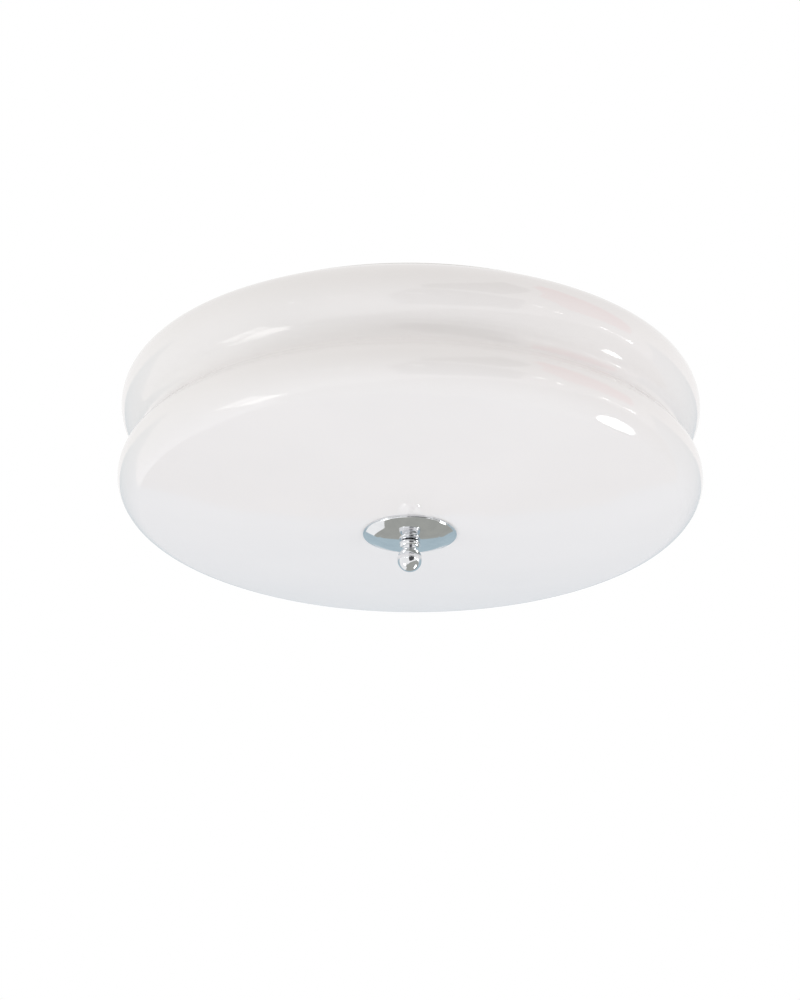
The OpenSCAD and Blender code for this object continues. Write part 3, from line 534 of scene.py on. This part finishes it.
def soft_clear():
    """Milky translucent silicone."""
    silicone = Finish("soft_clear", (0.78, 0.78, 0.76), 0.42, Subsurface_Weight=0.3, Subsurface_Scale=0.002)
    silicone.mottled((0.8, 0.8, 0.78), (0.72, 0.72, 0.69), 120.0)
    return silicone.material


def bulb_glass():
    """Frosted globe of a lamp."""
    frost = Finish("bulb_glass", (0.9, 0.89, 0.86), 0.38, Subsurface_Weight=0.25, Subsurface_Scale=0.004)
    frost.mottled((0.91, 0.905, 0.88), (0.88, 0.87, 0.84), 40.0)
    frost.bump(frost.noise(1500.0), 0.00002)
    return frost.material


def bulb_plastic():
    """Matt white housing of a lamp."""
    housing = Finish("bulb_plastic", (0.85, 0.85, 0.84), 0.48)
    housing.mottled((0.86, 0.86, 0.85), (0.82, 0.82, 0.81), 90.0)
    housing.bump(housing.noise(900.0), 0.00005)
    return housing.material


def contact_insulator():
    """Black insulator of a lamp's cap."""
    vitrite = Finish("contact_insulator", (0.03, 0.03, 0.035), 0.12)
    vitrite.mottled((0.02, 0.02, 0.025), (0.05, 0.045, 0.05), 200.0)
    return vitrite.material


FINISHES = {
    "opal_glass": opal_glass(),
    "chrome": chrome(),
    "white_paint": white_paint(),
    "zinc_steel": zinc_steel(),
    "nickel": nickel(),
    "foam": foam(),
    "rivet_aluminium": rivet_aluminium(),
    "ceramic": ceramic(),
    "brass": brass(),
    "grommet_rubber": grommet_rubber(),
    "glass_fibre_sleeve": glass_fibre_sleeve(),
    "copper": copper(),
    "block_plastic": block_plastic(),
    "earth_insulation": earth_insulation(),
    "soft_clear": soft_clear(),
    "bulb_glass": bulb_glass(),
    "bulb_plastic": bulb_plastic(),
    "contact_insulator": contact_insulator(),
}


# Pieces


def turning_tree():
    """The node tree of the turned pieces.

    It spins a row of outline points about the Z axis, cuts a thread if one is given, closes the seam
    and the poles, and moves the wall inward in slow waves if it is to be uneven.
    """
    tree = bpy.data.node_groups.new("turned_piece", "GeometryNodeTree")
    links = tree.links
    for label, kind in (
        ("Outline", "NodeSocketObject"),
        ("Points along", "NodeSocketInt"),
        ("Steps round", "NodeSocketInt"),
        ("Unevenness", "NodeSocketFloat"),
        ("Thread pitch", "NodeSocketFloat"),
        ("Thread depth", "NodeSocketFloat"),
        ("Thread low", "NodeSocketFloat"),
        ("Thread high", "NodeSocketFloat"),
        ("Material", "NodeSocketMaterial"),
    ):
        tree.interface.new_socket(label, in_out="INPUT", socket_type=kind)
    tree.interface.new_socket("Geometry", in_out="OUTPUT", socket_type="NodeSocketGeometry")

    def add(kind, **settings):
        return add_node(tree, kind, **settings)

    def reckon(operation, a, b=None):
        return result_of(tree, operation, a, b)

    # A flat grid: its columns are the steps round, its rows the outline's points
    given = add("NodeGroupInput").outputs
    grid = add("GeometryNodeMeshGrid")
    links.new(reckon("ADD", given["Steps round"], 1), grid.inputs["Vertices X"])
    links.new(given["Points along"], grid.inputs["Vertices Y"])
    place = add("ShaderNodeSeparateXYZ")
    links.new(add("GeometryNodeInputPosition").outputs["Position"], place.inputs["Vector"])
    turn = reckon("MULTIPLY", reckon("ADD", place.outputs["X"], 0.5), math.tau)
    last = reckon("SUBTRACT", given["Points along"], 1)
    row = reckon("ROUND", reckon("MULTIPLY", reckon("ADD", place.outputs["Y"], 0.5), last))

    # The outline's point for each row
    outline = add("GeometryNodeObjectInfo", transform_space="ORIGINAL")
    links.new(given["Outline"], outline.inputs["Object"])
    sample = add("GeometryNodeSampleIndex", data_type="FLOAT_VECTOR")
    links.new(outline.outputs["Geometry"], sample.inputs["Geometry"])
    links.new(add("GeometryNodeInputPosition").outputs["Position"], sample.inputs["Value"])
    links.new(row, sample.inputs["Index"])
    point = add("ShaderNodeSeparateXYZ")
    links.new(sample.outputs["Value"], point.inputs["Vector"])

    # The thread takes away from the radius, one groove for each pitch
    steepness = reckon("DIVIDE", math.tau, given["Thread pitch"])
    phase = reckon("SUBTRACT", reckon("MULTIPLY", point.outputs["Z"], steepness), turn)
    groove = reckon("MULTIPLY", reckon("SUBTRACT", 1.0, reckon("COSINE", phase)), 0.5)
    above = reckon("GREATER_THAN", point.outputs["Z"], given["Thread low"])
    below = reckon("LESS_THAN", point.outputs["Z"], given["Thread high"])
    threaded = reckon("MULTIPLY", above, below)
    cut = reckon("MULTIPLY", threaded, reckon("MULTIPLY", groove, given["Thread depth"]))
    radius = reckon("SUBTRACT", point.outputs["X"], cut)

    # Spun, with the seam and the poles joined
    spun = add("ShaderNodeCombineXYZ")
    links.new(reckon("MULTIPLY", radius, reckon("COSINE", turn)), spun.inputs["X"])
    links.new(reckon("MULTIPLY", radius, reckon("SINE", turn)), spun.inputs["Y"])
    links.new(point.outputs["Z"], spun.inputs["Z"])
    shaped = add("GeometryNodeSetPosition")
    links.new(grid.outputs["Mesh"], shaped.inputs["Geometry"])
    links.new(spun.outputs["Vector"], shaped.inputs["Position"])
    closed = add("GeometryNodeMergeByDistance")
    closed.inputs["Distance"].default_value = JOIN_DISTANCE
    links.new(shaped.outputs["Geometry"], closed.inputs["Geometry"])

    # Slow waves, against the faces' normals
    waves = add("ShaderNodeTexNoise", noise_dimensions="3D")
    waves.inputs["Scale"].default_value = GLASS_WAVES_PER_METRE
    waves.inputs["Detail"].default_value = 1.0
    depth = reckon("MULTIPLY", waves.outputs["Fac"], given["Unevenness"])
    inward = add("ShaderNodeVectorMath", operation="SCALE")
    links.new(add("GeometryNodeInputNormal").outputs["Normal"], inward.inputs[0])
    links.new(reckon("MULTIPLY", depth, -1.0), inward.inputs["Scale"])
    worked = add("GeometryNodeSetPosition")
    links.new(closed.outputs["Geometry"], worked.inputs["Geometry"])
    links.new(inward.outputs["Vector"], worked.inputs["Offset"])

    smooth = add("GeometryNodeSetShadeSmooth")
    links.new(worked.outputs["Geometry"], smooth.inputs["Geometry"])
    real = add("GeometryNodeRealizeInstances")
    links.new(smooth.outputs["Geometry"], real.inputs["Geometry"])
    finish = add("GeometryNodeSetMaterial")
    links.new(real.outputs["Geometry"], finish.inputs["Geometry"])
    links.new(given["Material"], finish.inputs["Material"])
    out = add("NodeGroupOutput")
    links.new(finish.outputs["Geometry"], out.inputs["Geometry"])
    return tree


TURNING = turning_tree()


def set_inputs(modifier, values):
    """Sets a node modifier's inputs by their labels."""
    for item in modifier.node_group.interface.items_tree:
        if item.in_out == "INPUT":
            modifier[item.identifier] = values[item.name]


def add_object(name, data):
    """A new object in the scene."""
    thing = bpy.data.objects.new(name, data)
    bpy.context.scene.collection.objects.link(thing)
    return thing


def add_mesh(name, points, faces=()):
    """A new mesh object in the scene."""
    mesh = bpy.data.meshes.new(name)
    mesh.from_pydata(points, [], faces)
    return add_object(name, mesh)


def plain_piece(name, source):
    """The evaluated source as a plain mesh object; the source goes."""
    mesh = bpy.data.meshes.new_from_object(source.evaluated_get(bpy.context.evaluated_depsgraph_get()))
    mesh.name = name
    bpy.data.objects.remove(source)
    return add_object(name, mesh)


def volume_of(mesh):
    """Signed volume: negative where the faces point inwards."""
    mesh.calc_loop_triangles()
    total = 0.0
    for triangle in mesh.loop_triangles:
        a, b, c = (mesh.vertices[i].co for i in triangle.vertices)
        total += a.dot(b.cross(c)) / 6
    return total


def turned(name, outline, slot, steps, closed=True, unevenness=0.0, crease=TURNED_CREASE, thread=None):
    """A turned piece from its outline, through the node tree. A thread is its pitch, depth, start and end."""
    pitch, depth, thread_low, thread_high = thread or (MM, 0.0, 0.0, 0.0)
    points = [(x, 0, z) for x, z in outline]
    if closed:
        points.append(points[0])
    guide = add_mesh(name + "_outline", points)
    source = add_mesh(name + "_source", ())
    modifier = source.modifiers.new("turned", "NODES")
    modifier.node_group = TURNING
    set_inputs(modifier, {
        "Outline": guide,
        "Points along": len(points),
        "Steps round": steps,
        "Unevenness": unevenness,
        "Thread pitch": pitch,
        "Thread depth": depth,
        "Thread low": thread_low,
        "Thread high": thread_high,
        "Material": FINISHES[slot],
    })
    bpy.context.view_layer.update()
    piece = plain_piece(name, source)
    bpy.data.objects.remove(guide)
    if volume_of(piece.data) < 0:
        piece.data.flip_normals()
    piece.data.set_sharp_from_angle(angle=math.radians(crease))
    return piece


def smooth_copy(node):
    """A CAD node's mesh with its points joined, its curved faces shaded smooth and its edges kept."""
    mesh = NODES[node].data.copy()
    build = bmesh.new()
    build.from_mesh(mesh)
    bmesh.ops.remove_doubles(build, verts=build.verts, dist=JOIN_DISTANCE)
    build.to_mesh(mesh)
    build.free()
    mesh.shade_smooth()
    mesh.set_sharp_from_angle(angle=math.radians(CAD_CREASE))
    mesh.materials.clear()
    mesh.materials.append(FINISHES[SLOT_OF[node]])
    return add_object("dressed_" + node, mesh)


def stand_for(piece, *nodes):
    """The piece rides with the nodes' body in their place, and the nodes are hidden."""
    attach(piece, BODY_OF[nodes[0]])
    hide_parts(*nodes)


def dress_nodes():
    """Gives every CAD node its finish, and a smooth copy if no turned piece stands for it."""
    for name, node in NODES.items():
        node.data.materials.clear()
        node.data.materials.append(FINISHES[SLOT_OF[name]])
    turned_nodes = {"glass_shade", "chrome_cap", "ball_finial", "centre_rod"}
    turned_nodes |= {"bulb_cap_1", "bulb_cap_2", "bulb_cap_3"}
    for name in sorted(set(NODES) - turned_nodes):
        stand_for(smooth_copy(name), name)


def make_shade():
    """The glass. Its outline runs backward, so that the waves go into the wall."""
    outline = shade_outline()[::-1]
    shade = turned("opal_shade", outline, "opal_glass", steps=288, unevenness=GLASS_WAVES)
    stand_for(shade, "glass_shade")


def make_cap():
    """The cap under the glass."""
    stand_for(turned("domed_cap", cap_outline(), "chrome", steps=160), "chrome_cap")


def make_finial():
    """The ball that holds the cap."""
    stand_for(turned("turned_finial", finial_outline(), "chrome", steps=96, closed=False), "ball_finial")


def at_lampholder(number):
    """From a piece standing on the origin to its place along a lampholder."""
    low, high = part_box("bulb_cap_3")
    turn = math.radians(HOLDER_ANGLES[number - 1])
    lift = Matrix.Translation((0, 0, (low.z + high.z) / 2))
    return Matrix.Rotation(turn, 4, "Z") @ lift @ Matrix.Rotation(math.pi / 2, 4, "Y")


def make_lamp_caps():
    """The three screw caps of the lamps: nose, rolled round thread and plain skirt."""
    low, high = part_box("bulb_cap_3")
    start, end = -high.y, -low.y
    r = LAMP_CAP_R
    skirt_r = r - 0.4 * MM
    wall_low = start + 3.5 * MM
    wall_high = end - 2 * MM
    run_out = 0.1 * MM
    nose = [(0, start), (r - 3 * MM, start), (r - 1 * MM, start + 1.5 * MM)]
    wall = threaded_line(r, wall_low, wall_high, LAMP_THREAD[0], per_turn=16)
    skirt = [(skirt_r, end - 1.4 * MM), (skirt_r, end), (0, end)]
    options = {
        "steps": 96,
        "closed": False,
        "crease": THREAD_CREASE,
        "thread": (*LAMP_THREAD, wall_low + run_out, wall_high - run_out),
    }
    for number in (1, 2, 3):
        cap = turned("threaded_lamp_cap_%d" % number, nose + wall + skirt, "nickel", **options)
        cap.data.transform(at_lampholder(number))
        stand_for(cap, "bulb_cap_%d" % number)


def make_rod():
    """The centre rod with its thread from end to end."""
    low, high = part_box("centre_rod")
    r = high.x
    end_r = r - ROD_CHAMFER
    wall_low = low.z + ROD_CHAMFER
    wall_high = high.z - ROD_CHAMFER
    run_out = 0.05 * MM
    wall = threaded_line(r, wall_low, wall_high, ROD_THREAD[0], per_turn=8)
    outline = [(0, low.z), (end_r, low.z)] + wall + [(end_r, high.z), (0, high.z)]
    thread = (*ROD_THREAD, wall_low + run_out, wall_high - run_out)
    rod = turned("threaded_rod", outline, "zinc_steel", steps=32, closed=False, crease=THREAD_CREASE, thread=thread)
    stand_for(rod, "centre_rod")


# Camera, light and floor


def make_camera():
    """A camera below the light, looking up, so that the light fills the frame as photographed."""
    below = math.radians(CAMERA_BELOW)
    roll = math.radians(CAMERA_ROLL)
    focal = PIXELS_PER_METRE * CAMERA_DISTANCE
    ahead = Vector((0, math.cos(below), math.sin(below)))
    above = Vector((0, -math.sin(below), math.cos(below)))
    right = Vector((1, 0, 0))
    right, above = (
        right * math.cos(roll) + above * math.sin(roll),
        above * math.cos(roll) - right * math.sin(roll),
    )
    place = Vector((0, 0, UPPER_CENTRE[1])) - ahead * CAMERA_DISTANCE
    aside = math.atan((SHADE_PIXEL[0] - PHOTO_W / 2) / focal)
    up = math.atan((PHOTO_H / 2 - SHADE_PIXEL[1]) / focal)
    right, ahead = (
        right * math.cos(aside) + ahead * math.sin(aside),
        ahead * math.cos(aside) - right * math.sin(aside),
    )
    above, ahead = (
        above * math.cos(up) + ahead * math.sin(up),
        ahead * math.cos(up) - above * math.sin(up),
    )
    data = bpy.data.cameras.new("camera")
    data.sensor_width = SENSOR
    data.lens = focal / PHOTO_H * SENSOR
    data.clip_end = SIGHT_END
    camera = add_object("camera", data)
    camera.matrix_world = Matrix.Translation(place) @ Matrix((right, above, -ahead)).transposed().to_4x4()
    bpy.context.scene.camera = camera


def make_lamp(name, place, width, height, power, colour):
    """A soft rectangular lamp that faces the light fitting."""
    data = bpy.data.lights.new(name, "AREA")
    data.shape = "RECTANGLE"
    data.size = width
    data.size_y = height
    data.energy = power
    data.color = colour
    lamp = add_object(name, data)
    lamp.location = place
    lamp.rotation_mode = "QUATERNION"
    lamp.rotation_quaternion = (LAMP_AIM - Vector(place)).to_track_quat("-Z", "Y")
    lamp.visible_camera = False
    return lamp


def heading(bearing_deg, height_deg):
    """Unit vector for a bearing (0 away from the camera, 90 to the right) and a height above level."""
    side = math.radians(bearing_deg)
    up = math.radians(height_deg)
    return Vector((math.sin(side) * math.cos(up), math.cos(side) * math.cos(up), math.sin(up)))


def make_soft_lamps():
    """Broad lamps that light the glass and leave no mark in its gloss."""
    for name, place, size, power, colour in SOFT_LAMPS:
        lamp = make_lamp(name, place, size, size, power, colour)
        lamp.visible_glossy = False


def make_glints():
    """Small bright lamps and a window that only the gloss shows."""
    for name, side, up, width, tall, strength, colour in GLINTS:
        wide = 2 * GLINT_DISTANCE * math.tan(math.radians(width) / 2)
        high = 2 * GLINT_DISTANCE * math.tan(math.radians(tall) / 2)
        place = LAMP_AIM + heading(side, up) * GLINT_DISTANCE
        lamp = make_lamp(name, place, wide, high, strength * math.pi * wide * high, colour)
        lamp.data.shape = GLINT_SHAPE.get(name, "RECTANGLE")
        tilt = Quaternion((0, 0, 1), math.radians(GLINT_TILT.get(name, 0)))
        lamp.rotation_quaternion = lamp.rotation_quaternion @ tilt
        lamp.visible_diffuse = False
        lamp.visible_transmission = False


def rim_of(corners):
    """Directions along a card's edges, from corner to corner."""
    rim = []
    for (side, up), (next_side, next_up) in zip(corners, corners[1:] + corners[:1]):
        turn = (next_side - side + 180) % 360 - 180
        for step in range(SURROUNDINGS_EDGE_STEPS):
            t = step / SURROUNDINGS_EDGE_STEPS
            rim.append(heading(side + turn * t, up + (next_up - up) * t))
    return rim


def card_colour(name, colour):
    """A material that shines evenly in one colour."""
    card = bpy.data.materials.new(name)
    card.use_nodes = True
    tree = card.node_tree
    tree.nodes.clear()
    glow = add_node(tree, "ShaderNodeEmission")
    glow.inputs["Color"].default_value = (*colour, 1.0)
    out = add_node(tree, "ShaderNodeOutputMaterial")
    tree.links.new(glow.outputs["Emission"], out.inputs["Surface"])
    return card


def make_surroundings():
    """Patches of a wide sphere round the object: what polished metal and glass show of the studio."""
    for number, (name, (colour, corners)) in enumerate(SURROUNDINGS.items()):
        rim = rim_of(corners)
        middle = sum(rim, Vector()).normalized()
        points = [v * (SURROUNDINGS_DISTANCE - SURROUNDINGS_GAP * number) for v in [middle] + rim]
        faces = [(0, i + 1, (i + 1) % len(rim) + 1) for i in range(len(rim))]
        patch = add_mesh(name, points, faces)
        patch.data.materials.append(card_colour(name, colour))
        patch.visible_camera = False
        patch.visible_diffuse = False
        patch.visible_transmission = False
        patch.visible_shadow = False


def make_world():
    """A white surround for the camera, gloss and glass, and a softer one as light."""
    world = bpy.data.worlds.new("surround")
    bpy.context.scene.world = world
    world.use_nodes = True
    tree = world.node_tree
    tree.nodes.clear()
    seen = add_node(tree, "ShaderNodeBackground")
    seen.inputs["Color"].default_value = (1, 1, 1, 1)
    light = add_node(tree, "ShaderNodeBackground")
    light.inputs["Color"].default_value = (*ROOM_LIGHT, 1)
    ray = add_node(tree, "ShaderNodeLightPath").outputs
    either = result_of(tree, "MAXIMUM", ray["Is Camera Ray"], ray["Is Glossy Ray"])
    any_of_three = result_of(tree, "MAXIMUM", either, ray["Is Transmission Ray"])
    mix = add_node(tree, "ShaderNodeMixShader")
    tree.links.new(any_of_three, mix.inputs["Fac"])
    tree.links.new(light.outputs["Background"], mix.inputs[1])
    tree.links.new(seen.outputs["Background"], mix.inputs[2])
    out = add_node(tree, "ShaderNodeOutputWorld")
    tree.links.new(mix.outputs["Shader"], out.inputs["Surface"])


def make_floor():
    """A plain pale floor well below the light. Gloss shows the white surround in its place."""
    corners = [(x * FLOOR_HALF, y * FLOOR_HALF, FLOOR_LEVEL) for x, y in ((-1, -1), (1, -1), (1, 1), (-1, 1))]
    floor = add_mesh("floor", corners, [(0, 1, 2, 3)])
    floor.data.materials.append(Finish("pale_floor", (0.8, 0.8, 0.8), 0.7).material)
    floor.visible_glossy = False


bpy.context.scene.view_settings.view_transform = "Standard"
make_camera()
make_world()
make_floor()
make_soft_lamps()
make_glints()
make_surroundings()
dress_nodes()
make_shade()
make_cap()
make_finial()
make_lamp_caps()
make_rod()
